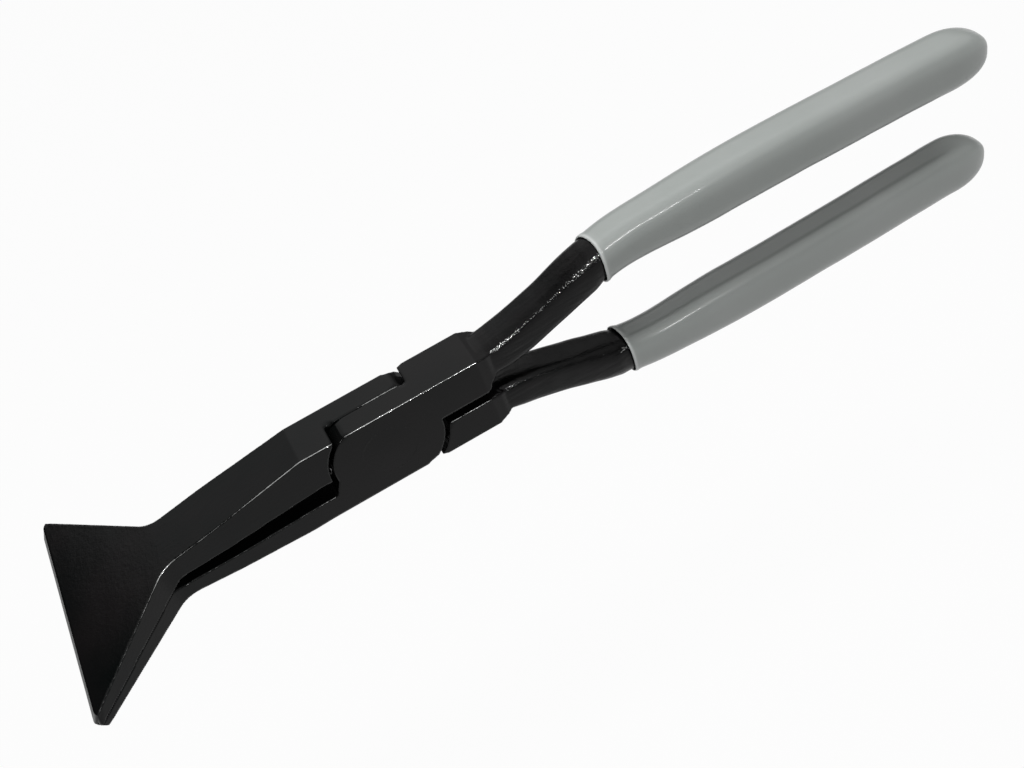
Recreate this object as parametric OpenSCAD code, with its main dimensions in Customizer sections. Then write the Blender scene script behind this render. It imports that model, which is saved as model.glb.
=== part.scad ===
// Seaming pliers with a riveted lap joint and dipped grips.
// +X runs from the lips to the handle ends, +Z is the way the upper jaw opens, and Y is the pivot's axis.
// The origin lies under the middle of the closed pliers, on the surface that the lower grip stands on.
// Each lever is drawn with its jaw down, its handle up and its lap at -Y. The other one is turned over.

/* [Jaws] */
// Width of the jaws along the lips
jaw_w = 60; // [40:1:90]
// Distance from the pivot's axis to the lips
lip_reach = 82.6; // [76:0.2:110]
// Depth of the flared jaws, from the lips back to their root
fan_len = 26.4; // [22:0.2:28]
// Length of the blunt side of each lip corner
corner_flat = 1.9; // [1.9:0.1:4]
// Rounding of the lip corners
corner_r = 1.6; // [0.5:0.1:1.8]
// Distance by which the lips' front faces slant back towards the jaws' outer faces
lip_slant = 1.6; // [0.4:0.1:2]
// Width of each arm at the root of its jaw
neck_w = 13.5; // [12:0.5:18]
// Rounding between an arm's flank and the jaw's slanted edge
neck_r = 8; // [6:0.5:15]
// Height of the pivot's axis above the seam between the lips
lip_drop = 4; // [3:0.1:5]
// Height of the pivot's axis above the seam at the root of the jaws
root_drop = 3.1; // [2.5:0.1:4]
// Thickness of the upper jaw at its lip
upper_lip_t = 3.1; // [2:0.1:4]
// Thickness of the upper jaw at its root
upper_root_t = 7.1; // [5:0.1:8]
// Thickness of the lower jaw at its lip
lower_lip_t = 1.7; // [1.4:0.1:4]
// Thickness of the lower jaw at its root
lower_root_t = 5.1; // [5:0.1:7]
// Gap between the closed lips
lip_gap = 0.1; // [0.05:0.05:0.4]

/* [Throat] */
// Height of the gap between the arms, just in front of the joint
throat_h = 5.2; // [4.6:0.1:6]
// Height of the upper arm's lower edge above the pivot's axis, just in front of the joint
throat_top = 0.2; // [0:0.1:0.6]
// Depth of the hollow behind the lower jaw's seam face
lower_step = 1.4; // [0.8:0.1:2.2]
// Height of the hollow behind the upper jaw's seam face
upper_step = 1.3; // [0.4:0.1:1.6]
// Length over which the seam faces run out into those hollows
root_blend = 3; // [2:0.5:4]
// Rounding at the back of the throat
throat_r = 1.5; // [1:0.1:1.9]
// Height over which a lap's round end swings out to the throat's back wall
throat_flare = 2.5; // [1.5:0.1:3]
// Length in front of the shoulders that keeps the joint's full thickness
arm_land = 4; // [2:0.5:6]
// Further length of the lower arm that keeps the joint's full height
lower_land = 5; // [0:0.5:6]

/* [Joint] */
// Thickness of the joint, both laps together
body_t = 11.6; // [10:0.2:16]
// Height of the joint
body_h = 22.2; // [20:0.2:25]
// Radius of each round lap
lap_r = 13.7; // [12.8:0.1:14]
// Gap between a lap's round end and the shoulder of the other lever
shoulder_gap = 1.2; // [0.8:0.1:1.8]
// Gap between the flat faces of the two laps
lap_gap = 0.1; // [0.06:0.02:0.3]
// Length of the joint's block behind the pivot
block_reach = 26; // [22:0.5:28]
// Height of a block's lower edge above the pivot's axis, on its lap side
block_lift = 0.3; // [0.2:0.1:0.8]
// Further height of that edge on the shoulder side
block_step = 1.9; // [0.5:0.1:2.5]
// Rounding of a block's lower rear corner
block_corner = 1.6; // [1:0.1:2]
// Length over which a block runs out into its rein
block_taper = 5; // [4:0.5:7]

/* [Rivet] */
// Diameter of the rivet's shank
rivet_d = 9; // [6:0.5:10]
// Diameter of the rivet's heads where they are flush with the joint
head_d = 13; // [11:0.5:15]
// Running clearance all round the rivet in the turning lever
rivet_fit = 0.05; // [0.02:0.01:0.1]

/* [Reins] */
// Height of the rein's middle above the pivot's axis at the joint's block
rein_root_z = 6.5; // [6:0.1:7.5]
// Thickness of the rein where it leaves the block
rein_root_w = 9; // [7:0.2:10]
// Height of the rein where it leaves the block
rein_root_h = 8.4; // [7:0.2:9.4]
// Thickness of the rein at its waist
rein_waist_w = 8.6; // [6:0.2:9]
// Height of the rein at its waist
rein_waist_h = 9.4; // [6:0.2:9.6]
// Distance from the pivot's axis to the waist
waist_x = 45; // [42:1:48]
// Thickness of the rein inside its grip
tang_w = 9.4; // [7:0.2:10]
// Height of the rein inside its grip
tang_h = 13; // [11:0.2:13.4]
// Squareness of the rein in front of its waist, where 2 is an ellipse
rein_square = 4.5; // [3:0.5:6]
// Squareness of the rein inside its grip
tang_square = 2.5; // [2:0.1:3]

/* [Grips] */
// Distance from the pivot's axis to the grips' front rims
grip_start = 61.4; // [59:0.2:70]
// Distance from the pivot's axis to the handle ends
grip_end = 169.2; // [160:0.2:200]
// Height of a grip's middle above the pivot's axis, where the handles run level
grip_z = 18; // [17:0.1:24]
// Length behind the rims over which the handles still spread
grip_rise = 13; // [8:1:20]
// Length behind the rims over which the grips swell to their full size
grip_swell = 33.6; // [25:0.2:45]
// Drop of a grip's middle from there to the handle end
grip_droop = 1.9; // [0:0.1:4]
// Thickness of a grip across the pliers
grip_w = 12; // [11.4:0.2:16]
// Height of a grip
grip_h = 15.6; // [15.2:0.2:20]
// Wall of the dipped skin at its front rim
rim_wall = 0.6; // [0.5:0.1:1.2]
// Thickness of the rein at the rim
rim_w = 9.4; // [8.4:0.2:10]
// Height of the rein at the rim
rim_h = 11.6; // [9:0.2:12]
// Solid depth of the grip behind the rein's end
end_wall = 4; // [2:0.5:6]
// Length of the grip's rounded end
end_round = 12; // [6:0.5:13]
// Gap between a rein and its grip
grip_fit = 0.05; // [0.02:0.01:0.1]
// Squareness of the grips, where 2 is an ellipse
grip_square = 2.3; // [2:0.1:2.5]

/* [Hidden] */
ring_points = 32;
round_fn = 96;
half_t = body_t / 2;
half_h = body_h / 2;
shoulder_r = lap_r + shoulder_gap;
root_x = -(lip_reach - fan_len);
// The arms keep the neck's width for a third of their length, then narrow to the joint.
arm_front = root_x + (-shoulder_r - root_x) / 3;
// Where the upper and the lower arm reach the joint's full height
upper_bend_x = -shoulder_r - arm_land;
lower_bend_x = upper_bend_x - lower_land;
// Where the handles run level, where their droop starts and where the rounded ends start
level_x = grip_start + grip_rise;
crest_x = grip_start + grip_swell;
dome_x = grip_end - end_round;
// Angle round the grip's rounded end at which its small flat tip starts
dome_last = 84;
tang_end = grip_end - end_wall;
// Length of the rein's rounded tip and the share of its size left at its flat end
tang_round = 5;
tip_flat = 0.3;
block_end = block_reach + block_taper;
// How deep the block's outline ends inside the rein's skin
under = 0.7;
// How far one body runs into the next, or a cut runs past its body
overlap = 2;
head_depth = (head_d - rivet_d) / 2;
pivot = [-(grip_end - lip_reach) / 2, 0, grip_z + grip_h / 2];

// Share of the way from one value to another, with soft ends
function ramp(x, from, to) = (1 - cos(180 * min(1, max(0, (x - from) / (to - from))))) / 2;
function mix(a, b, share) = a + (b - a) * share;
function signed_pow(v, p) = sign(v) * pow(abs(v), p);
function arc(centre, r, from, to, steps) =
    [for (i = [0:steps]) let (a = mix(from, to, i / steps)) centre + r * [cos(a), sin(a)]];

// Height of the rein's middle above the pivot's axis
function rein_z(x) =
    x < crest_x
        ? mix(rein_root_z, grip_z, ramp(x, block_reach, level_x))
        : grip_z - grip_droop * pow((x - crest_x) / (grip_end - crest_x), 1.5);

// Full thickness, full height and squareness of the rein at x
function rein_w(x) =
    x < waist_x
        ? mix(rein_root_w, rein_waist_w, ramp(x, block_reach, waist_x))
        : mix(rein_waist_w, rim_w, ramp(x, waist_x, grip_start));
function rein_h(x) =
    x < waist_x
        ? mix(rein_root_h, rein_waist_h, ramp(x, block_reach, waist_x))
        : mix(rein_waist_h, rim_h, ramp(x, waist_x, grip_start));
function squareness(x) = mix(rein_square, tang_square, ramp(x, waist_x, grip_start));
function tang_growth(x) = ramp(x, grip_start, crest_x);
function tang_w_at(x) = x < grip_start ? rein_w(x) : mix(rim_w, tang_w, tang_growth(x));
function tang_h_at(x) = x < grip_start ? rein_h(x) : mix(rim_h, tang_h, tang_growth(x));
function grip_w_at(x) = mix(rim_w + 2 * rim_wall, grip_w, tang_growth(x));
function grip_h_at(x) = mix(rim_h + 2 * rim_wall, grip_h, tang_growth(x));

// One closed outline across the rein: an ellipse squared off by n
function ring(x, w, h, n) =
    [for (i = [0:ring_points - 1])
        let (a = 360 * i / ring_points)
        [x, w / 2 * signed_pow(cos(a), 2 / n), rein_z(x) + h / 2 * signed_pow(sin(a), 2 / n)]];

// Skin over a row of rings, closed by a flat face at each end
module loft(rings) {
    last = len(rings) - 1;
    n = ring_points;
    polyhedron(
        points = [for (r = rings) each r],
        faces = concat(
            [[for (i = [0:n - 1]) i]],
            [for (k = [0:last - 1], i = [0:n - 1]) [k * n + i, (k + 1) * n + i, (k + 1) * n + (i + 1) % n]],
            [for (k = [0:last - 1], i = [0:n - 1]) [k * n + i, (k + 1) * n + (i + 1) % n, k * n + (i + 1) % n]],
            [[for (i = [n - 1:-1:0]) last * n + i]]
        )
    );
}

function spread(from, to, steps) = [for (i = [0:steps]) mix(from, to, i / steps)];
function rest_of(list) = [for (i = [1:len(list) - 1]) list[i]];

// The rein from inside the block to its rounded end, grown all round by skin
module rein(skin, from) {
    body_x = concat(spread(from, grip_start, 14), rest_of(spread(grip_start, crest_x, 10)),
        rest_of(spread(crest_x, tang_end - tang_round, 8)));
    body = [for (x = body_x) ring(x, tang_w_at(x) + 2 * skin, tang_h_at(x) + 2 * skin, squareness(x))];
    tip = [for (a = [15:15:75])
        let (x = tang_end - tang_round + (tang_round + skin) * sin(a), s = mix(tip_flat, 1, cos(a)))
        ring(x, (tang_w + 2 * skin) * s, (tang_h + 2 * skin) * s, squareness(x))];
    loft(concat(body, tip));
}

// The dipped skin: a closed sleeve with a rounded end, hollow for the rein
module sleeve() {
    difference() {
        loft(concat(
            [for (x = concat(spread(grip_start, crest_x, 10), rest_of(spread(crest_x, dome_x, 8))))
                ring(x, grip_w_at(x), grip_h_at(x), grip_square)],
            [for (a = [dome_last / 7:dome_last / 7:dome_last])
                let (x = dome_x + end_round * sin(a) / sin(dome_last))
                ring(x, grip_w * cos(a), grip_h * cos(a), grip_square)]
        ));
        rein(skin = grip_fit, from = grip_start - overlap);
    }
}

// Half of the plan outline, on one side of the long axis, from the lip to the block's end
function plan_half() = concat(
    [[-lip_reach, 0]],
    arc([-lip_reach + corner_r, jaw_w / 2 - corner_r], corner_r, 180, 90, 4),
    [[-lip_reach + corner_flat, jaw_w / 2]],
    arc([root_x + neck_r * tan(flare / 2), neck_w / 2 + neck_r], neck_r, 270 - flare, 270, 6),
    [[arm_front, neck_w / 2], [upper_bend_x, half_t], [block_reach, half_t],
        [block_reach + block_taper / 2, mix(half_t, rein_root_w / 2, 0.5)], [block_end, rein_root_w / 2 - under],
        [block_end, 0]]
);
// Angle of the slanted edge to the long axis
flare = atan((jaw_w - neck_w) / 2 / (fan_len - corner_flat));

// Outline of a lever from above
module plan_outline() {
    for (side = [0, 1]) mirror([0, side]) polygon(plan_half());
}

// Side outline of a jaw and its arm. seam and hollow are the heights of the seam face and of the hollow
// behind it, each as [in front, behind], and skin is the height of the outer face at the lip and the root.
module jaw_outline(seam, hollow, skin, bend_x) {
    wall_top = hollow[1] + throat_r;
    flare_angle = asin((wall_top + throat_flare) / lap_r);
    polygon(concat(
        [[-lip_reach + lip_slant, skin[0]], [root_x, skin[1]], [bend_x, -half_h], [0, -half_h], [0, wall_top + throat_flare],
            [-lap_r * cos(flare_angle), wall_top + throat_flare], [-shoulder_r, wall_top]],
        rest_of(arc([-shoulder_r - throat_r, wall_top], throat_r, 0, -90, 5)),
        [[root_x + root_blend / 2, hollow[0]], [root_x - root_blend / 2, seam[1]], [-lip_reach, seam[0]]]
    ));
}

// Side outline of the joint's block and the start of the rein
module block_outline() {
    rein_low = rein_root_z - rein_root_h / 2;
    polygon(concat(
        [[0, block_lift]],
        arc([block_reach, block_lift + block_corner], block_corner, -90, 0, 4),
        [[mix(block_reach, block_end, 0.6), rein_low + under], [block_end, rein_low + 2 * under],
            [block_end, half_h - 2 * under], [block_reach, half_h], [0, half_h]]
    ));
}

module across(from, to) {
    translate([0, to, 0]) rotate([90, 0, 0]) linear_extrude(to - from) children();
}

// Room for the rivet in a lap, with its countersink in the near cheek
module rivet_room(fit) {
    rotate([90, 0, 0]) translate([0, 0, -overlap])
        cylinder(d = rivet_d + 2 * fit, h = half_t + 2 * overlap, $fn = round_fn);
    rotate([90, 0, 0]) translate([0, 0, half_t - head_depth])
        cylinder(d1 = rivet_d + 2 * fit, d2 = head_d + 2 * fit, h = head_depth, $fn = round_fn);
}

// One forging, with its lap at -Y, its jaw below and its handle above
module lever(seam, hollow, skin, bend_x, fit) {
    difference() {
        union() {
            intersection() {
                linear_extrude(4 * half_h, center = true) plan_outline();
                across(-jaw_w, jaw_w) {
                    jaw_outline(seam, hollow, skin, bend_x);
                    block_outline();
                    intersection() {
                        circle(r = lap_r, $fn = round_fn);
                        square([4 * lap_r, body_h], center = true);
                    }
                }
            }
            rein(skin = 0, from = block_reach - overlap);
        }
        across(-lap_gap / 2, body_t) circle(r = shoulder_r, $fn = round_fn);
        across(-lap_gap / 2, body_t) translate([0, -overlap])
            square([block_reach + block_corner, block_lift + block_step + overlap]);
        rivet_room(fit);
    }
}

module lever_a() {
    color("#1a1a1c") translate(pivot)
        lever(
            seam = [-lip_drop - lip_gap / 2, -root_drop - lip_gap / 2],
            hollow = [-root_drop - lower_step, throat_top - throat_h],
            skin = [-lip_drop - lower_lip_t, -root_drop - lower_root_t],
            bend_x = lower_bend_x,
            fit = 0
        );
}

module lever_b() {
    color("#232326") translate(pivot) rotate([180, 0, 0])
        lever(
            seam = [lip_drop - lip_gap / 2, root_drop - lip_gap / 2],
            hollow = [root_drop - lip_gap / 2 - upper_step, -throat_top],
            skin = [lip_drop - upper_lip_t, root_drop - upper_root_t],
            bend_x = upper_bend_x,
            fit = rivet_fit
        );
}

module pivot_rivet() {
    color("#2c2c30") translate(pivot) rotate([90, 0, 0]) {
        cylinder(d = rivet_d, h = body_t, center = true, $fn = round_fn);
        for (side = [0, 1]) mirror([0, 0, side]) translate([0, 0, half_t - head_depth])
            cylinder(d1 = rivet_d, d2 = head_d, h = head_depth, $fn = round_fn);
    }
}

module upper_grip() {
    color("#a3a8a6") translate(pivot) sleeve();
}

module lower_grip() {
    color("#a3a8a6") translate(pivot) rotate([180, 0, 0]) sleeve();
}

lever_a();
lever_b();
pivot_rivet();
upper_grip();
lower_grip();
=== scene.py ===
import math

import bmesh
import bpy
import numpy as np
from mathutils import Matrix, Quaternion, Vector


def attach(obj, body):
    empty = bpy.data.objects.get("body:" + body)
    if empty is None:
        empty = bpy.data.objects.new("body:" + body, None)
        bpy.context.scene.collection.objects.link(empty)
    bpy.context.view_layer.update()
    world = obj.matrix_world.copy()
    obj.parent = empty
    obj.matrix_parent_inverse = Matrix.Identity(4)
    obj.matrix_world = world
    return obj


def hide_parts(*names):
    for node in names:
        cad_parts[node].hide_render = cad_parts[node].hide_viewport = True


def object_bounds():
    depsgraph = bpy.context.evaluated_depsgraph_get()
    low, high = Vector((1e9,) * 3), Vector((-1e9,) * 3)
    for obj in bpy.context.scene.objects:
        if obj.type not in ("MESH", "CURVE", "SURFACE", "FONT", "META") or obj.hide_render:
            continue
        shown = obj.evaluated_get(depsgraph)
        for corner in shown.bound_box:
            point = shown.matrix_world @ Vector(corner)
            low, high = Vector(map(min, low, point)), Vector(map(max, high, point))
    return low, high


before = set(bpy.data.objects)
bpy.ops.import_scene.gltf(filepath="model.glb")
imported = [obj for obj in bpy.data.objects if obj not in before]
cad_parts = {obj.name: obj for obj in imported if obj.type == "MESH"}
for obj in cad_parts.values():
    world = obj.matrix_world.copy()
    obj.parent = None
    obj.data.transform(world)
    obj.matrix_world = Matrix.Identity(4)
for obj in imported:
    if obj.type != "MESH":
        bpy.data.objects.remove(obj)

cad_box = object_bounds()

# The view: a close shot from above the near side, with the jaws at the lower left. The camera's place, turn
# and lens were worked out from the tool's own parallel edges.
camera_data = bpy.data.cameras.new("camera")
camera_data.lens = 44.21
camera_data.sensor_width = 36
camera_data.clip_start = 0.005
camera = bpy.data.objects.new("camera", camera_data)
camera.rotation_mode = "QUATERNION"
camera.location = (-0.04595, -0.20048, 0.23938)
camera.rotation_quaternion = Quaternion((0.8949088, 0.36165467, 0.03847565, -0.25857915))
bpy.context.scene.collection.objects.link(camera)
bpy.context.scene.camera = camera
bpy.context.scene.view_settings.view_transform = "Standard"

# The studio: a wide white sheet below the tool, low enough that no handle reaches it when the jaws open,
# with white all round. The sheet still takes a faint soft shadow.
sheet_half = 4.0
sheet_z = -0.11
corners = np.array([[-1, -1], [1, -1], [1, 1], [-1, 1]]) * sheet_half
sheet_mesh = bpy.data.meshes.new("floor")
sheet_mesh.from_pydata([(x, y, sheet_z) for x, y in corners], [], [(0, 1, 2, 3)])
floor = bpy.data.objects.new("floor", sheet_mesh)
bpy.context.scene.collection.objects.link(floor)


def add(tree, kind, settings=None, **inputs):
    """A new shader node with its settings. Its inputs go by name, or by an i and their number, and take a
    value or a link from another node's output."""
    made = tree.nodes.new("ShaderNode" + kind)
    for key, value in (settings or {}).items():
        setattr(made, key, value)
    for key, value in inputs.items():
        numbered = key[0] == "i" and key[1:].isdigit()
        socket = made.inputs[int(key[1:]) if numbered else key.replace("_", " ")]
        if isinstance(value, bpy.types.NodeSocket):
            tree.links.new(value, socket)
        else:
            socket.default_value = value
    return made


def maths(tree, operation, first, second):
    """Two values joined by one operation."""
    return add(tree, "Math", {"operation": operation}, i0=first, i1=second).outputs[0]


def scaled(tree, value, start, end):
    """A value of 0 to 1 taken straight to start to end."""
    return add(tree, "MapRange", Value=value, To_Min=start, To_Max=end).outputs["Result"]


def step_between(tree, value, low, high, start=0.0, end=1.0):
    """A value taken to start at low and to end at high, with soft ends."""
    return add(tree, "MapRange", {"interpolation_type": "SMOOTHSTEP"}, Value=value,
               From_Min=low, From_Max=high, To_Min=start, To_Max=end).outputs["Result"]


def seen_or_mirrored(tree):
    """1 for rays that come straight from the camera, off a glossy surface or through a clear one, else 0."""
    path = add(tree, "LightPath").outputs
    straight = maths(tree, "MAXIMUM", path["Is Camera Ray"], path["Is Glossy Ray"])
    return maths(tree, "MAXIMUM", straight, path["Is Transmission Ray"])


white_sheet = bpy.data.materials.new("white_sheet")
white_sheet.use_nodes = True
tree = white_sheet.node_tree
tree.nodes.clear()
paper = add(tree, "BsdfDiffuse", Color=(0.5, 0.5, 0.5, 1))
glow = add(tree, "Emission", Color=(1, 1, 1, 1), Strength=1.0)
dimmer = scaled(tree, add(tree, "LightPath").outputs["Is Glossy Ray"], 0.96, 0.72)
share = maths(tree, "MULTIPLY", seen_or_mirrored(tree), dimmer)
mixed = add(tree, "MixShader", i0=share, i1=paper.outputs[0], i2=glow.outputs[0])
add(tree, "OutputMaterial", Surface=mixed.outputs[0])
sheet_mesh.materials.append(white_sheet)

# The room is white. What shines mirrors grey walls below a white ceiling, which is dark towards the jaws'
# side, brightest over the joint and the reins, and dimmer again towards the handles' ends.
world = bpy.data.worlds.new("studio")
bpy.context.scene.world = world
world.use_nodes = True
tree = world.node_tree
tree.nodes.clear()
daylight = add(tree, "Background", Strength=0.2)
backdrop = add(tree, "Background", Color=(1, 1, 1, 1), Strength=0.97)
mixed = add(tree, "MixShader", i0=seen_or_mirrored(tree), i1=daylight.outputs[0], i2=backdrop.outputs[0])
toward = add(tree, "SeparateXYZ", Vector=add(tree, "TexCoord").outputs["Generated"]).outputs
screen = step_between(tree, toward["X"], -0.49, -0.43, 0.03, 1.0)
overhead = step_between(tree, toward["X"], -0.3, 0.05, 0.0, 0.7)
gloom = step_between(tree, toward["X"], 0.2, 0.5, 0.0, -0.7)
walls = step_between(tree, toward["Z"], 0.3, 0.5, 0.25, 1.0)
ceiling = maths(tree, "ADD", maths(tree, "ADD", screen, overhead), gloom)
mirrored = add(tree, "Background", Strength=maths(tree, "MULTIPLY", ceiling, walls))
mixed = add(tree, "MixShader", i0=add(tree, "LightPath").outputs["Is Glossy Ray"],
            i1=mixed.outputs[0], i2=mirrored.outputs[0])
add(tree, "OutputWorld", Surface=mixed.outputs[0])


def lamp(name, place, aim, width, depth, watts, mirrored):
    """A rectangular lamp at place that faces aim, its width along X. Only a mirrored one shows in gloss."""
    data = bpy.data.lights.new(name, "AREA")
    data.shape = "RECTANGLE"
    data.size = width
    data.size_y = depth
    data.energy = watts
    made = bpy.data.objects.new(name, data)
    made.location = place
    made.rotation_mode = "QUATERNION"
    facing = (Vector(place) - Vector(aim)).normalized()
    upright = facing.cross(Vector((1, 0, 0))).normalized()
    made.rotation_quaternion = Matrix((upright.cross(facing), upright, facing)).transposed().to_quaternion()
    made.visible_glossy = mirrored
    bpy.context.scene.collection.objects.link(made)


lamp("key", place=(-0.05, 0, 0.66), aim=(0, 0, 0.03), width=1.2, depth=0.16, watts=4.8, mirrored=False)
lamp("flash", place=(0.11, -0.845, 0.39), aim=(0.02, 0, 0.04), width=0.26, depth=0.014, watts=1.8,
     mirrored=True)

# The near lever: one drop-forged steel bar with the lower jaw, the near lap and the upper handle's rein.
# Its joint is ground, its edges are softly broken, and it is sprayed with a thin black lacquer.
# The places along the tool are the lips, the jaws' roots, the pivot, the reins' starts and the grips' rims.
lip_x, root_x, pivot_x, pivot_z, rein_x, rim_x = -0.1259, -0.0995, -0.0433, 0.0258, -0.0173, 0.0181
jaw_half, corner_r = 0.03, 0.0022
hidden_x, hidden_share = rim_x + 0.00336, 6.0


def rolling(place, seed, length, count=24):
    """A gently rolling value of about -1 to 1: the sum of count plane waves of seeded turns and phases, each
    0.7 to 1.4 of length long, divided by the root of half their number."""
    draw = np.random.default_rng(seed)
    course = draw.normal(size=(count, 3))
    wave = length * draw.uniform(0.7, 1.4, count) * np.linalg.norm(course, axis=1)
    course *= (2 * math.pi / wave)[:, None]
    return np.sin(place @ course.T + draw.uniform(0, 2 * math.pi, count)).sum(1) / math.sqrt(count / 2)


def ease(value, low, high):
    """0 at low, 1 at high and a smooth cubic step between them. low may be the greater of the two."""
    share = np.clip((value - low) / (high - low), 0, 1)
    return share * share * (3 - 2 * share)


def read(rows, key, width=1, kind=float):
    """One property of all rows of a mesh as an array, with width numbers to a row."""
    flat = np.empty(len(rows) * width, kind)
    rows.foreach_get(key, flat)
    return flat.reshape(-1, width) if width > 1 else flat


def outer_edges(solid):
    """Both ends of every outward edge that turns by more than 35 degrees in front of the reins, cut into
    pieces of up to 2 mm, how brightly each shows as a line of bare steel, and which are rounded. That line is
    partly steel rubbed bare and partly a painted highlight: it is brightest where light glints, where a face
    from above meets an outer side, at the jaws' roots and on the lip's upper edge. The arms' and the jaws' are
    less so, the lower, upright and hidden ones little. The edges that cross the joint from side to side are
    rounded."""
    sharp_turn, piece_length = math.radians(35), 0.002
    joint_wear_and_glint, arm_less, jaw_less, rear_less, root_more = 0.95, 0.14, 0.06, 0.3, 0.25
    lap_wear_and_glint, low_wear_and_glint, low_rear_more, lip_wear_and_glint, least_wear_and_glint = 0.88, 0.74, 0.09, 0.9, 0.3

    point = read(solid.vertices, "co", 3)
    pair = read(solid.edges, "vertices", 2, np.int64)
    normal = read(solid.polygons, "normal", 3)
    face = np.repeat(np.arange(len(solid.polygons)), read(solid.polygons, "loop_total", 1, np.int64))
    loop_edge = read(solid.loops, "edge_index", 1, np.int64)
    loop_start = read(solid.loops, "vertex_index", 1, np.int64)
    order = np.argsort(loop_edge, kind="stable")
    first, second = order[0::2], order[1::2]
    one, other = normal[face[first]], normal[face[second]]
    ends = point[pair]
    way = ends[:, 1] - ends[:, 0]
    outward = (np.cross(one, other) * way).sum(1) * np.where(pair[:, 0] == loop_start[first], 1, -1) > 0
    sharp = (one * other).sum(1) < math.cos(sharp_turn)
    kept = outward & sharp & (ends[:, :, 0].min(1) < rein_x + 0.003)
    count = np.ceil(np.linalg.norm(way[kept], axis=1) / piece_length).astype(int)
    owner = np.repeat(np.flatnonzero(kept), count)
    part = np.arange(len(owner)) - np.repeat(np.cumsum(count) - count, count)
    share = np.stack([part, part + 1], 1) / np.repeat(count, count)[:, None]
    way = way[owner]
    ends = ends[owner, :1] + share[:, :, None] * way[:, None]
    one, other = one[owner], other[owner]

    along, across, height = ends.mean(1).T
    highest, lowest = np.maximum(one[:, 2], other[:, 2]), np.minimum(one[:, 2], other[:, 2])
    from_above = ease(highest, 0.6, 0.9) * ease(lowest, -0.5, -0.2)
    to_side = ease(np.maximum(np.abs(one[:, 1]), np.abs(other[:, 1])), 0.3, 0.6)
    between_laps = np.abs(across) < 0.0004
    upper = height > pivot_z
    wear_and_glint = joint_wear_and_glint - arm_less * ease(along, pivot_x - 0.03, pivot_x - 0.036)
    wear_and_glint = wear_and_glint - jaw_less * ease(along, root_x - 0.001, root_x - 0.004)
    wear_and_glint = wear_and_glint - rear_less * ease(along, rein_x - 0.0008, rein_x + 0.0014)
    wear_and_glint = wear_and_glint + root_more * np.exp(-((along - root_x) / 0.0028) ** 2)
    wear_and_glint = np.where(between_laps, lap_wear_and_glint * ease(along, pivot_x - 0.004, pivot_x), wear_and_glint * to_side)
    wear_and_glint = np.where(upper, wear_and_glint, np.minimum(wear_and_glint, low_wear_and_glint + low_rear_more * (along > pivot_x)))
    wear_and_glint = np.where(upper & (along < lip_x + 0.003), lip_wear_and_glint, wear_and_glint)
    in_seam = (along < root_x + 0.001) & (np.abs(height - pivot_z + 0.00355) < 0.0008)
    edge_wear_and_glint = np.where(in_seam, least_wear_and_glint, least_wear_and_glint + np.maximum(wear_and_glint - least_wear_and_glint, 0) * from_above)
    crossing = np.abs(way[:, 1]) > 0.9 * np.linalg.norm(way, axis=1)
    rounded = crossing & ~between_laps & (np.abs(along - pivot_x - 0.008) < 0.026)
    return ends, edge_wear_and_glint, rounded


def nearest_edge(place, ends):
    """For every point its distance to the nearest edge, and which one that is."""
    start, way = ends[:, 0], ends[:, 1] - ends[:, 0]
    long = np.maximum((way * way).sum(1), 1e-18)
    found = []
    for chunk in np.array_split(place, max(1, len(place) // 2000)):
        here = chunk[:, None] - start[None]
        share = np.clip((here * way).sum(2) / long, 0, 1)
        gap = np.linalg.norm(here - share[:, :, None] * way, axis=2)
        pick = gap.argmin(1)
        found.append((gap[np.arange(len(chunk)), pick], pick))
    return [np.concatenate(part) for part in zip(*found)]


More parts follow.
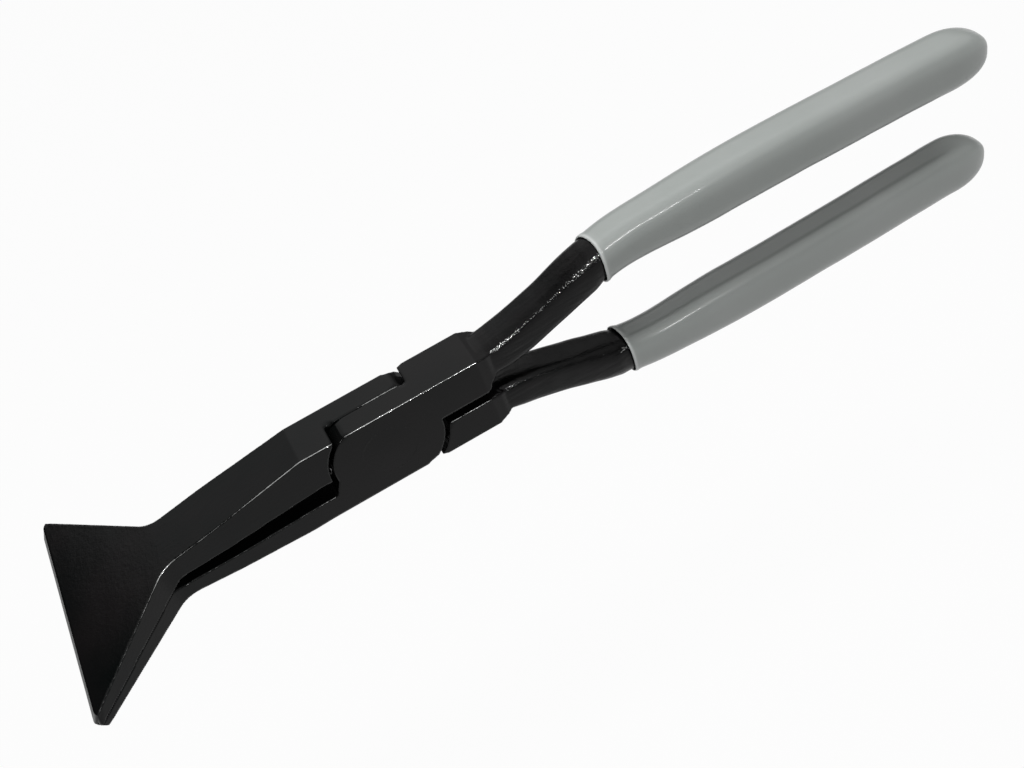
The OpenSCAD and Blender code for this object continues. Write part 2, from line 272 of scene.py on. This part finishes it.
def forging(name, node, seed, ridge_wear_and_glint, rim_wear_and_glint, over, under):
    """The CAD solid's surface laid out again on an even grid of about 0.36 mm that keeps its sharp edges, six
    times coarser inside the grip. Then it is relaxed: each point moves half of the way to the mean of its
    neighbours and 0.53 of the way back, twice on the ground joint and the jaws and more on the rough reins, so
    that flats stay flat and edges are broken. The ends of laps and blocks only move towards their neighbours,
    which rounds them. The jaws' corners are rounded in plan: beside a corner a square of the skin is drawn in
    to a quarter circle. The reins and arms then roll in and out by a few hundredths of a millimetre, and the
    open rein is fuller than the CAD's, by over on its upper side and by under on its lower side.
    The attribute edge is how brightly the nearest edge shows as a line of bare steel, partly rubbing and
    partly a painted highlight, falling to 0 at half a millimetre from it. ridge is the weight of specks of bare
    steel, partly rubbing and partly painted highlight, on the reins' corners that lean towards the side, forged
    is 1 on the rough reins and 0 on the ground joint, and rubbed is 1 on the lips' front faces."""
    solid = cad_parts[node].data.copy()
    joined = bmesh.new()
    joined.from_mesh(solid)
    bmesh.ops.remove_doubles(joined, verts=joined.verts, dist=1e-6)
    joined.to_mesh(solid)
    joined.free()
    ends, edge_wear_and_glint, rounded = outer_edges(solid)

    place = read(solid.vertices, "co", 3)
    along = place[:, 0]
    place[:, 0] = np.where(along > hidden_x, hidden_x + (along - hidden_x) / hidden_share, along)
    solid.vertices.foreach_set("co", place.ravel())
    core = bpy.data.objects.new(name + "_core", solid)
    block = bpy.data.objects.new(name + "_block", solid)
    for made in (core, block):
        bpy.context.scene.collection.objects.link(made)
    grid = block.modifiers.new("grid", "REMESH")
    grid.mode = "SHARP"
    grid.octree_depth = 9
    grid.scale = 0.9
    grid.sharpness = 1
    grid.use_remove_disconnected = False
    back = block.modifiers.new("back", "SHRINKWRAP")
    back.wrap_method = "NEAREST_SURFACEPOINT"
    back.target = core
    bpy.context.view_layer.update()
    mesh = bpy.data.meshes.new_from_object(block.evaluated_get(bpy.context.evaluated_depsgraph_get()))
    mesh.name = name
    for made in (core, block):
        bpy.data.objects.remove(made)
    bpy.data.meshes.remove(solid)

    place = read(mesh.vertices, "co", 3)
    count = len(place)
    pair = read(mesh.edges, "vertices", 2, np.int64)
    here, there = np.concatenate([pair[:, 0], pair[:, 1]]), np.concatenate([pair[:, 1], pair[:, 0]])
    neighbours = np.bincount(here, minlength=count)

    def around(value):
        """The mean of a value over each point's neighbours."""
        total = np.stack([np.bincount(here, value[there, k], count) for k in range(value.shape[1])], 1)
        return total / neighbours[:, None]

    gap, pick = nearest_edge(place, ends)
    edge = edge_wear_and_glint[pick] * np.clip(1 - gap / 0.0005, 0, 1)
    softened = np.clip(1.4 - nearest_edge(place, ends[rounded])[0] / 0.0012, 0, 1)[:, None]
    rough = ease(place[:, 0], rein_x + 0.001, rein_x + 0.004)[:, None]
    rein_steps, ground_steps, rounding_steps, there_share, back_share = 32, 4, 16, 0.5, -0.53
    for step in range(rein_steps):
        share = 1.0 if step < ground_steps else rough
        place = place + share * (there_share if step % 2 == 0 else back_share) * (around(place) - place)
    for step in range(rounding_steps):
        place = place + there_share * softened * (around(place) - place)

    # The lips' front leans back by 1.6 mm from the seam to 3.1 mm above it and to 1.7 mm below it.
    seam_z, lean_back, lean_above, lean_below = pivot_z - 0.004, 0.0016, 0.0031, 0.0017
    height = place[:, 2]
    depth = np.where(height > seam_z, (height - seam_z) / lean_above, (seam_z - height) / lean_below)
    inward = np.maximum(corner_r - (place[:, 0] - lip_x - lean_back * np.clip(depth, 0, 1)), 0)
    aside = np.maximum(corner_r - (jaw_half - np.abs(place[:, 1])), 0)
    drawn_in = 1 - np.maximum(inward, aside) / np.maximum(np.hypot(inward, aside), 1e-9)
    pull = np.where((inward > 0) & (aside > 0), drawn_in, 0)
    place[:, 0] += inward * pull
    place[:, 1] -= np.sign(place[:, 1]) * aside * pull
    mesh.vertices.foreach_set("co", place.ravel())
    mesh.update()
    out = read(mesh.vertices, "normal", 3)

    along = place[:, 0]
    forged = ease(along, rein_x, rein_x + 0.008) + 0.12 * ease(along, pivot_x - 0.016, pivot_x - 0.024)
    rubbed = ease(along, lip_x + 0.0036, lip_x + 0.0022) * ease(out[:, 0], -0.7, -0.95)
    rubbed = rubbed * ease(np.abs(place[:, 1]), 0.0295, 0.027)
    # The ridges' weight peaks where the surface leans 60 degrees from up towards the side, where light glints: a
    # painted highlight, partly rubbing.
    ridge_lean, ridge_spread = 60, 24
    lean = np.degrees(np.arctan2(np.abs(out[:, 1]), out[:, 2]))
    ridge = np.clip(1 - np.abs(lean - ridge_lean) / ridge_spread, 0, 1)
    ridge = ridge * ease(along, rein_x + 0.001, rein_x + 0.004)
    ridge = ridge * (ridge_wear_and_glint - 0.35 * ease(along, rein_x + 0.004, rein_x + 0.014)
                     + rim_wear_and_glint * ease(along, rim_x - 0.0022, rim_x - 0.0012))
    roll = (0.00002 * rolling(place, seed, 0.007) + 0.000035 * rolling(place, seed + 1, 0.022)) * forged
    roll = np.clip(roll - 0.00002 * forged, -0.0001, 0.00004)
    open_rein = ease(along, rein_x + 0.001, rein_x + 0.009) * ease(along, rim_x + 0.0006, rim_x - 0.003)
    fuller = (over + (under - over) * (1 - out[:, 2]) / 2) * open_rein
    place = place + out * (roll + fuller)[:, None]
    place[:, 0] = np.where(along > hidden_x, hidden_x + (place[:, 0] - hidden_x) * hidden_share, place[:, 0])
    place = np.clip(place, cad_box[0], cad_box[1])
    mesh.vertices.foreach_set("co", place.ravel())
    for label, value in (("edge", edge), ("ridge", ridge), ("forged", forged), ("rubbed", rubbed)):
        mesh.attributes.new(label, "FLOAT", "POINT").data.foreach_set("value", value.astype(np.float32))
    mesh.materials.clear()
    mesh.polygons.foreach_set("use_smooth", np.ones(len(mesh.polygons), bool))
    mesh.update()
    piece = bpy.data.objects.new(name, mesh)
    bpy.context.scene.collection.objects.link(piece)
    return piece


def tinted(tree, value, low, dark, high, light):
    """A colour that goes from dark at the value low to light at the value high."""
    made = add(tree, "ValToRGB", Fac=value)
    for stop, place, colour in zip(made.color_ramp.elements, (low, high), (dark, light)):
        stop.position = place
        stop.color = colour
    return made.outputs["Color"]


def lacquered(name):
    """A thin black lacquer whose tint and gloss drift slowly over the surface, with a finely pebbled skin.
    With the material come its place, drift, pebbles, tint, gloss and skin."""
    made = bpy.data.materials.new(name)
    made.use_nodes = True
    tree = made.node_tree
    shader = tree.nodes["Principled BSDF"]
    shader.inputs["Specular IOR Level"].default_value = 0.145
    where = add(tree, "TexCoord").outputs["Object"]
    drift = add(tree, "TexNoise", Vector=where, Scale=48.0, Detail=3.0).outputs["Fac"]
    peel = add(tree, "TexNoise", Vector=where, Scale=950.0, Detail=2.0).outputs["Fac"]
    tint = tinted(tree, drift, 0.35, (0.0022, 0.0028, 0.0028, 1), 0.7, (0.0055, 0.0048, 0.005, 1))
    gloss = scaled(tree, drift, 0.12, 0.18)
    skin = add(tree, "Bump", Strength=0.3, Distance=0.00005, Height=peel).outputs[0]
    for value, socket in ((tint, "Base Color"), (gloss, "Roughness"), (skin, "Normal")):
        tree.links.new(value, shader.inputs[socket])
    return made, where, drift, peel, tint, gloss, skin


# Bare steel shows in a fine, uneven line along the edges and in specks on the reins' ridges: partly steel
# rubbed bare, partly painted highlights, placed where light glints. The lips' front faces are rubbed bare.
# The rough reins are marked lengthwise.
black_lacquer, where, drift, peel, tint, gloss, skin = lacquered("black_lacquer")
tree = black_lacquer.node_tree
shader = tree.nodes["Principled BSDF"]
edge, ridge, forged, rubbed = [add(tree, "Attribute", {"attribute_name": label}).outputs["Fac"]
                               for label in ("edge", "ridge", "forged", "rubbed")]
speck = add(tree, "TexNoise", Vector=where, Scale=3300.0, Detail=1.0).outputs["Fac"]
lengthwise = add(tree, "Mapping", Vector=where, Scale=(70, 1100, 1100)).outputs[0]
grain = add(tree, "TexNoise", Vector=lengthwise, Scale=1.0, Detail=3.0).outputs["Fac"]
# The edge line and the ridges' specks of bright steel are painted highlights as well as rubbing.
broken_and_glinting = step_between(tree, maths(tree, "ADD", edge, maths(tree, "MULTIPLY", peel, 0.4)), 0.9, 1.0)
patchy = add(tree, "MapRange", Value=drift, From_Min=0.4, From_Max=0.6, To_Min=0.35, To_Max=1.0)
broken_and_glinting = maths(tree, "MULTIPLY", broken_and_glinting, patchy.outputs["Result"])
glint_flecks = step_between(tree, maths(tree, "ADD", ridge, maths(tree, "MULTIPLY", speck, 2.2)), 2.0, 2.09)
polish = maths(tree, "MULTIPLY", rubbed, scaled(tree, peel, 0.6, 1.4))
bare = maths(tree, "MAXIMUM", maths(tree, "MAXIMUM", broken_and_glinting, glint_flecks), maths(tree, "MULTIPLY", polish, 0.3))
coat = add(tree, "Mix", {"data_type": "RGBA"}, Factor=bare, A=tint, B=(0.58, 0.59, 0.58, 1))
dull = maths(tree, "MAXIMUM", gloss, maths(tree, "MULTIPLY", rubbed, 0.7))
scale = maths(tree, "MULTIPLY", forged, maths(tree, "ADD", grain, maths(tree, "MULTIPLY", speck, 0.5)))
marks = add(tree, "Bump", Strength=0.8, Distance=0.00016, Normal=skin, Height=scale)
for value, socket in ((coat.outputs["Result"], "Base Color"), (bare, "Metallic"), (dull, "Roughness"),
                      (marks.outputs[0], "Normal")):
    tree.links.new(value, shader.inputs[socket])

# The near rein's ridge gets more specks of painted highlight than the far one's, which has a few more at its
# rim.
near_lever = forging("near_lever_forging", "lever_a", 11, ridge_wear_and_glint=1.18, rim_wear_and_glint=0,
                     over=0.00012, under=0.00055)
near_lever.data.materials.append(black_lacquer)
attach(near_lever, "lever_a")
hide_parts("lever_a")

# The far lever: a second forging, turned over, with the upper jaw, the far lap and the lower handle's rein.
# Its jaw and arm are thicker than the near lever's. The rivet's far countersink is cut in its outer cheek.
far_lever = forging("far_lever_forging", "lever_b", 23, ridge_wear_and_glint=0.72, rim_wear_and_glint=0.45,
                    over=0.0004, under=0.00055)
far_lever.data.materials.append(black_lacquer)
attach(far_lever, "lever_b")
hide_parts("lever_b")

# The rivet: a steel pin through both laps, hammered into a countersink at each end, ground flush with the
# cheeks and sprayed over with them, so that no ring is left.
rivet_profile = np.array([[0, 5.84], [2, 5.838], [4, 5.828], [5.6, 5.815], [6.6, 5.805], [7.1, 5.8005],
                          [7.16, 5.79], [6.6, 5.7], [6, 5.3], [5.2, 4.5], [4.5, 3.8], [4.5, 2],
                          [4.5, 0.6]]) / 1000
rivet_sides = 128


def ring_faces(rows, sides, reverse=False):
    """The faces between rows rings of sides points, and a fan of triangles from each end ring to its pole. The
    poles' numbers follow the rings'. reverse turns each face over and keeps its first corner."""
    k, i = np.meshgrid(np.arange(rows - 1), np.arange(sides), indexing="ij")
    j = (i + 1) % sides
    walls = np.stack([k * sides + i, k * sides + j, (k + 1) * sides + j, (k + 1) * sides + i], -1).reshape(-1, 4)
    i = np.arange(sides)
    j = (i + 1) % sides
    first = np.stack([np.full(sides, rows * sides), j, i], 1)
    last = np.stack([np.full(sides, rows * sides + 1), (rows - 1) * sides + i, (rows - 1) * sides + j], 1)
    if reverse:
        walls, first, last = walls[:, [0, 3, 2, 1]], first[:, [0, 2, 1]], last[:, [0, 2, 1]]
    return walls.tolist() + first.tolist() + last.tolist()


def smooth_piece(name, points, faces):
    """A smoothly shaded object from its points and its faces' corner numbers."""
    mesh = bpy.data.meshes.new(name)
    mesh.from_pydata(points.tolist(), [], faces)
    mesh.polygons.foreach_set("use_smooth", np.ones(len(mesh.polygons), bool))
    mesh.update()
    piece = bpy.data.objects.new(name, mesh)
    bpy.context.scene.collection.objects.link(piece)
    return piece


def turned(name, profile, sides, centre):
    """A turned piece: each (radius, depth) of the profile is carried round the Y axis through centre, and the
    row of rings is mirrored to +Y. The first and last points are single poles."""
    radius = np.concatenate([profile[1:, 0], profile[:0:-1, 0]])
    depth = np.concatenate([-profile[1:, 1], profile[:0:-1, 1]])
    angle = np.arange(sides) * 2 * math.pi / sides
    ring = np.stack([radius[:, None] * np.cos(angle), np.broadcast_to(depth[:, None], (len(radius), sides)),
                     radius[:, None] * np.sin(angle)], 2).reshape(-1, 3)
    points = np.concatenate([ring, [[0, -profile[0, 1], 0], [0, profile[0, 1], 0]]]) + centre
    return smooth_piece(name, points, ring_faces(len(radius), sides, reverse=True))


rivet = turned("riveted_pin", rivet_profile, rivet_sides, (pivot_x, 0, pivot_z))
rivet.data.materials.append(lacquered("rivet_lacquer")[0])
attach(rivet, "lever_a")
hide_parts("pivot_rivet")

# The upper grip: the rein's end dipped in soft grey vinyl, a smooth closed sleeve with a round end and a
# thin rolled rim. It swells behind the rim and droops slightly to the handle's end.
# Its sizes are in millimetres, with X from the pivot.
grip_start, level_x, crest_x, grip_end = 61.4, 74.4, 95.0, 169.2
block_reach, rein_root_z, grip_z, grip_droop = 26.0, 6.5, 18.0, 1.9
rim_w, rim_h, grip_w, grip_h, rim_wall = 9.4, 11.6, 12.0, 15.6, 0.6
tang_w, tang_h, tang_end, tang_round = 9.4, 13.0, 165.2, 5.0
rim_square, grip_square, tang_square = 2.4, 2.8, 2.5
slimmer, bead_rise, bead_length, nearer_by = 0.05, 0.4, 0.7, 0.3
sag_length, sag_down, sag_aside = 16.0, 0.7, 0.9
grip_sides = 96


def ramp(x, low, high):
    """The share of the way from low to high, eased by half a turn of a cosine."""
    return (1 - np.cos(math.pi * np.clip((x - low) / (high - low), 0, 1))) / 2


def middle(x):
    """The height of the handle's middle above the pivot: it climbs to its level, then droops by a power of
    1.5."""
    rise = rein_root_z + (grip_z - rein_root_z) * ramp(x, block_reach, level_x)
    droop = grip_z - grip_droop * np.clip((x - crest_x) / (grip_end - crest_x), 0, 1) ** 1.5
    return np.where(x < crest_x, rise, droop)


def dipped_grip(name, side, seed, round_length, fullness, slant, setback, mouth_gap):
    """A closed skin carried along the handle: rings of an ellipse squared off by a power, from the cavity's
    round end forward to the rim, over the rolled rim and back along the outside to the round end, which is
    round_length long and shrinks as an ellipse of the power fullness. From the rim to the crest the rings
    grow squarer, and slimmer by 5 hundredths, so that their corners stay where the CAD's are. The cavity
    opens by half of mouth_gap all round at its mouth. The rim is a bead 0.2 mm proud, which stands back by
    setback and comes forward by slant times the square of the share of the way across to the far side. Behind
    the rim the skin lies 0.3 mm nearer the other handle, and over the last 16 mm it sags by 0.7 mm and to the
    near side by 0.9 mm, both with the square of the way. side is 1 for the upper handle and -1 for the lower
    one, which is the same sleeve turned over about X. A point attribute is 1 at the rim's front and falls to
    0 a millimetre behind it; the material paints the bead paler there, as a painted highlight."""
    front = grip_start + 0.5

    def swell(x):
        """The share of the way from the rim's size to the full one."""
        return ramp(x, grip_start, crest_x)

    def outer(x, rim, full):
        """The skin's size at x, from that over the rim to the full one, with the bead on it."""
        grown = rim + 2 * rim_wall + (full - rim - 2 * rim_wall) * swell(x)
        bead = bead_rise * np.exp(-((x - grip_start - bead_length) / bead_length) ** 2)
        return grown * (1 - slimmer * swell(x)) + bead

    def inner(x, rim, tang):
        """The cavity's size at x, from the rim's to the tang's and wider at its mouth."""
        mouth = 0.06 + mouth_gap * (1 - ramp(x, grip_start + 0.6, grip_start + 1.8))
        return rim + mouth + (tang - rim) * swell(x)

    tip = np.radians(np.arange(88, 0, -8))
    tip_x = tang_end - tang_round + tang_round * np.sin(tip)
    bore_x = np.concatenate([np.linspace(tang_end - tang_round, grip_start + 2, 50)[:-1],
                             np.linspace(grip_start + 2, front, 10)])
    roll = np.linspace(0, math.pi, 13)[1:-1]
    roll_x = front - 0.45 * np.sin(roll)
    dome_x = grip_end - round_length
    skin_x = np.concatenate([np.linspace(front, grip_start + 3, 14)[:-1],
                             np.linspace(grip_start + 3, dome_x, 150)])
    dome = np.linspace(0, math.radians(89.6), 30)[1:]
    dome_along = dome_x + round_length * np.sin(dome) ** (2 / fullness)
    shrunk = np.cos(dome) ** (2 / fullness)
    share = (1 - np.cos(roll)) / 2
    at_rim = np.full(len(roll), front)

    def ring_sizes(rim, full, tang):
        """Every ring's size across one way: the cavity's round end, the cavity, the rolled rim, the skin and
        the round end."""
        rolled = inner(at_rim, rim, tang) + (outer(at_rim, rim, full) - inner(at_rim, rim, tang)) * share
        return np.concatenate([inner(tip_x, rim, tang) * np.cos(tip), inner(bore_x, rim, tang), rolled,
                               outer(skin_x, rim, full), outer(dome_along, rim, full) * shrunk])

    along = np.concatenate([tip_x, bore_x, roll_x, skin_x, dome_along])
    wide, high = ring_sizes(rim_w, grip_w, tang_w), ring_sizes(rim_h, grip_h, tang_h)
    outside = swell(np.concatenate([skin_x, dome_along]))
    square = np.concatenate([np.full(len(tip_x) + len(bore_x), tang_square),
                             tang_square + (rim_square - tang_square) * share,
                             rim_square + (grip_square - rim_square) * outside])
    inside = np.zeros(len(tip_x) + len(bore_x) + len(roll_x))
    dented = np.concatenate([inside, np.clip((skin_x - grip_start - 0.5) / 3, 0, 1), shrunk])[:, None]
    skin = np.concatenate([inside, np.ones(len(skin_x) + len(dome_along))])[:, None]
    angle = np.arange(grip_sides) * 2 * math.pi / grip_sides
    power = (2 / square)[:, None]
    y = wide[:, None] / 2 * np.sign(np.cos(angle)) * np.abs(np.cos(angle)) ** power
    z = high[:, None] / 2 * np.sign(np.sin(angle)) * np.abs(np.sin(angle)) ** power
    far = (side * y / (rim_w + 2 * rim_wall) + 0.5).clip(0, 1.1) ** 2
    x = along[:, None] + (setback - slant * far) * (1 - ramp(along, grip_start, level_x)[:, None])
    rows = len(along)
    nearer = nearer_by * ramp(x, front, level_x) * (1 - ramp(x, level_x + 8, crest_x + 15)) * skin
    level = middle(x) - nearer
    sag = np.clip((x - grip_end + sag_length) / sag_length, 0, 1) ** 2 * skin
    place = np.stack([x, y, z], 2).reshape(-1, 3) / 1000
    dents = (0.5 * rolling(place, seed, 0.012) + rolling(place, seed + 1, 0.035)).reshape(rows, grip_sides)
    shrink = 1 + np.clip(0.006 * dents - 0.008, -0.03, 0) * dented
    ring = np.stack([x, side * y * shrink - sag_aside * sag, side * (z * shrink + level) - sag_down * sag], 2)
    poles = np.array([[tang_end, 0, side * float(middle(np.array(tang_end)))],
                      [grip_end, -sag_aside, side * float(middle(np.array(grip_end))) - sag_down]]) / 1000
    points = np.concatenate([ring.reshape(-1, 3) / 1000, poles]) + (pivot_x, 0, pivot_z)
    piece = smooth_piece(name, points, ring_faces(rows, grip_sides))
    # Where the rim's bead is painted paler, as a painted highlight.
    painted_rim_highlight = np.exp(-((along - grip_start - 0.35) / 0.4) ** 2) * (along < level_x)
    painted_rim_highlight = np.concatenate([np.repeat(painted_rim_highlight, grip_sides), [0, 0]]).astype(np.float32)
    piece.data.attributes.new("painted_rim_highlight", "FLOAT", "POINT").data.foreach_set("value", painted_rim_highlight)
    return piece


# The vinyl has a soft sheen below a thin clear skin. The bead at the rim is painted paler, a painted highlight
# along the rolled rim.
grip_vinyl = bpy.data.materials.new("grip_vinyl")
grip_vinyl.use_nodes = True
tree = grip_vinyl.node_tree
shader = tree.nodes["Principled BSDF"]
shader.inputs["Specular IOR Level"].default_value = 0.3
shader.inputs["Coat Weight"].default_value = 0.45
shader.inputs["Coat Roughness"].default_value = 0.11
shader.inputs["Coat IOR"].default_value = 1.45
where = add(tree, "TexCoord").outputs["Object"]
drift = add(tree, "TexNoise", Vector=where, Scale=35.0, Detail=4.0).outputs["Fac"]
fine = add(tree, "TexNoise", Vector=where, Scale=1500.0, Detail=2.0).outputs["Fac"]
painted_rim_highlight = add(tree, "Attribute", {"attribute_name": "painted_rim_highlight"}).outputs["Fac"]
tint = tinted(tree, drift, 0.3, (0.322, 0.345, 0.331, 1), 0.75, (0.36, 0.379, 0.368, 1))
# The bead at the rim is painted paler: a painted highlight.
painted_rim_highlight_colour = add(tree, "Mix", {"data_type": "RGBA"}, Factor=painted_rim_highlight, A=tint, B=(0.6, 0.62, 0.61, 1))
gloss = scaled(tree, drift, 0.3, 0.38)
skin = add(tree, "Bump", Strength=0.12, Distance=0.00005, Height=fine)
for value, socket in ((painted_rim_highlight_colour.outputs["Result"], "Base Color"), (gloss, "Roughness"),
                      (skin.outputs[0], "Normal")):
    tree.links.new(value, shader.inputs[socket])

upper_grip = dipped_grip("upper_dipped_grip", 1, 41, round_length=13.3, fullness=2.25, slant=2.1,
                         setback=0.1, mouth_gap=0.3)
upper_grip.data.materials.append(grip_vinyl)
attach(upper_grip, "lever_a")
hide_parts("upper_grip")

# The lower grip: the same dipped sleeve of soft grey vinyl on the far lever's rein, turned over. Its rim
# stands back a little more, and its mouth is wider.
lower_grip = dipped_grip("lower_dipped_grip", -1, 57, round_length=10.8, fullness=2.0, slant=1.3,
                         setback=0.7, mouth_gap=0.8)
lower_grip.data.materials.append(grip_vinyl)
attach(lower_grip, "lever_b")
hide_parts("lower_grip")
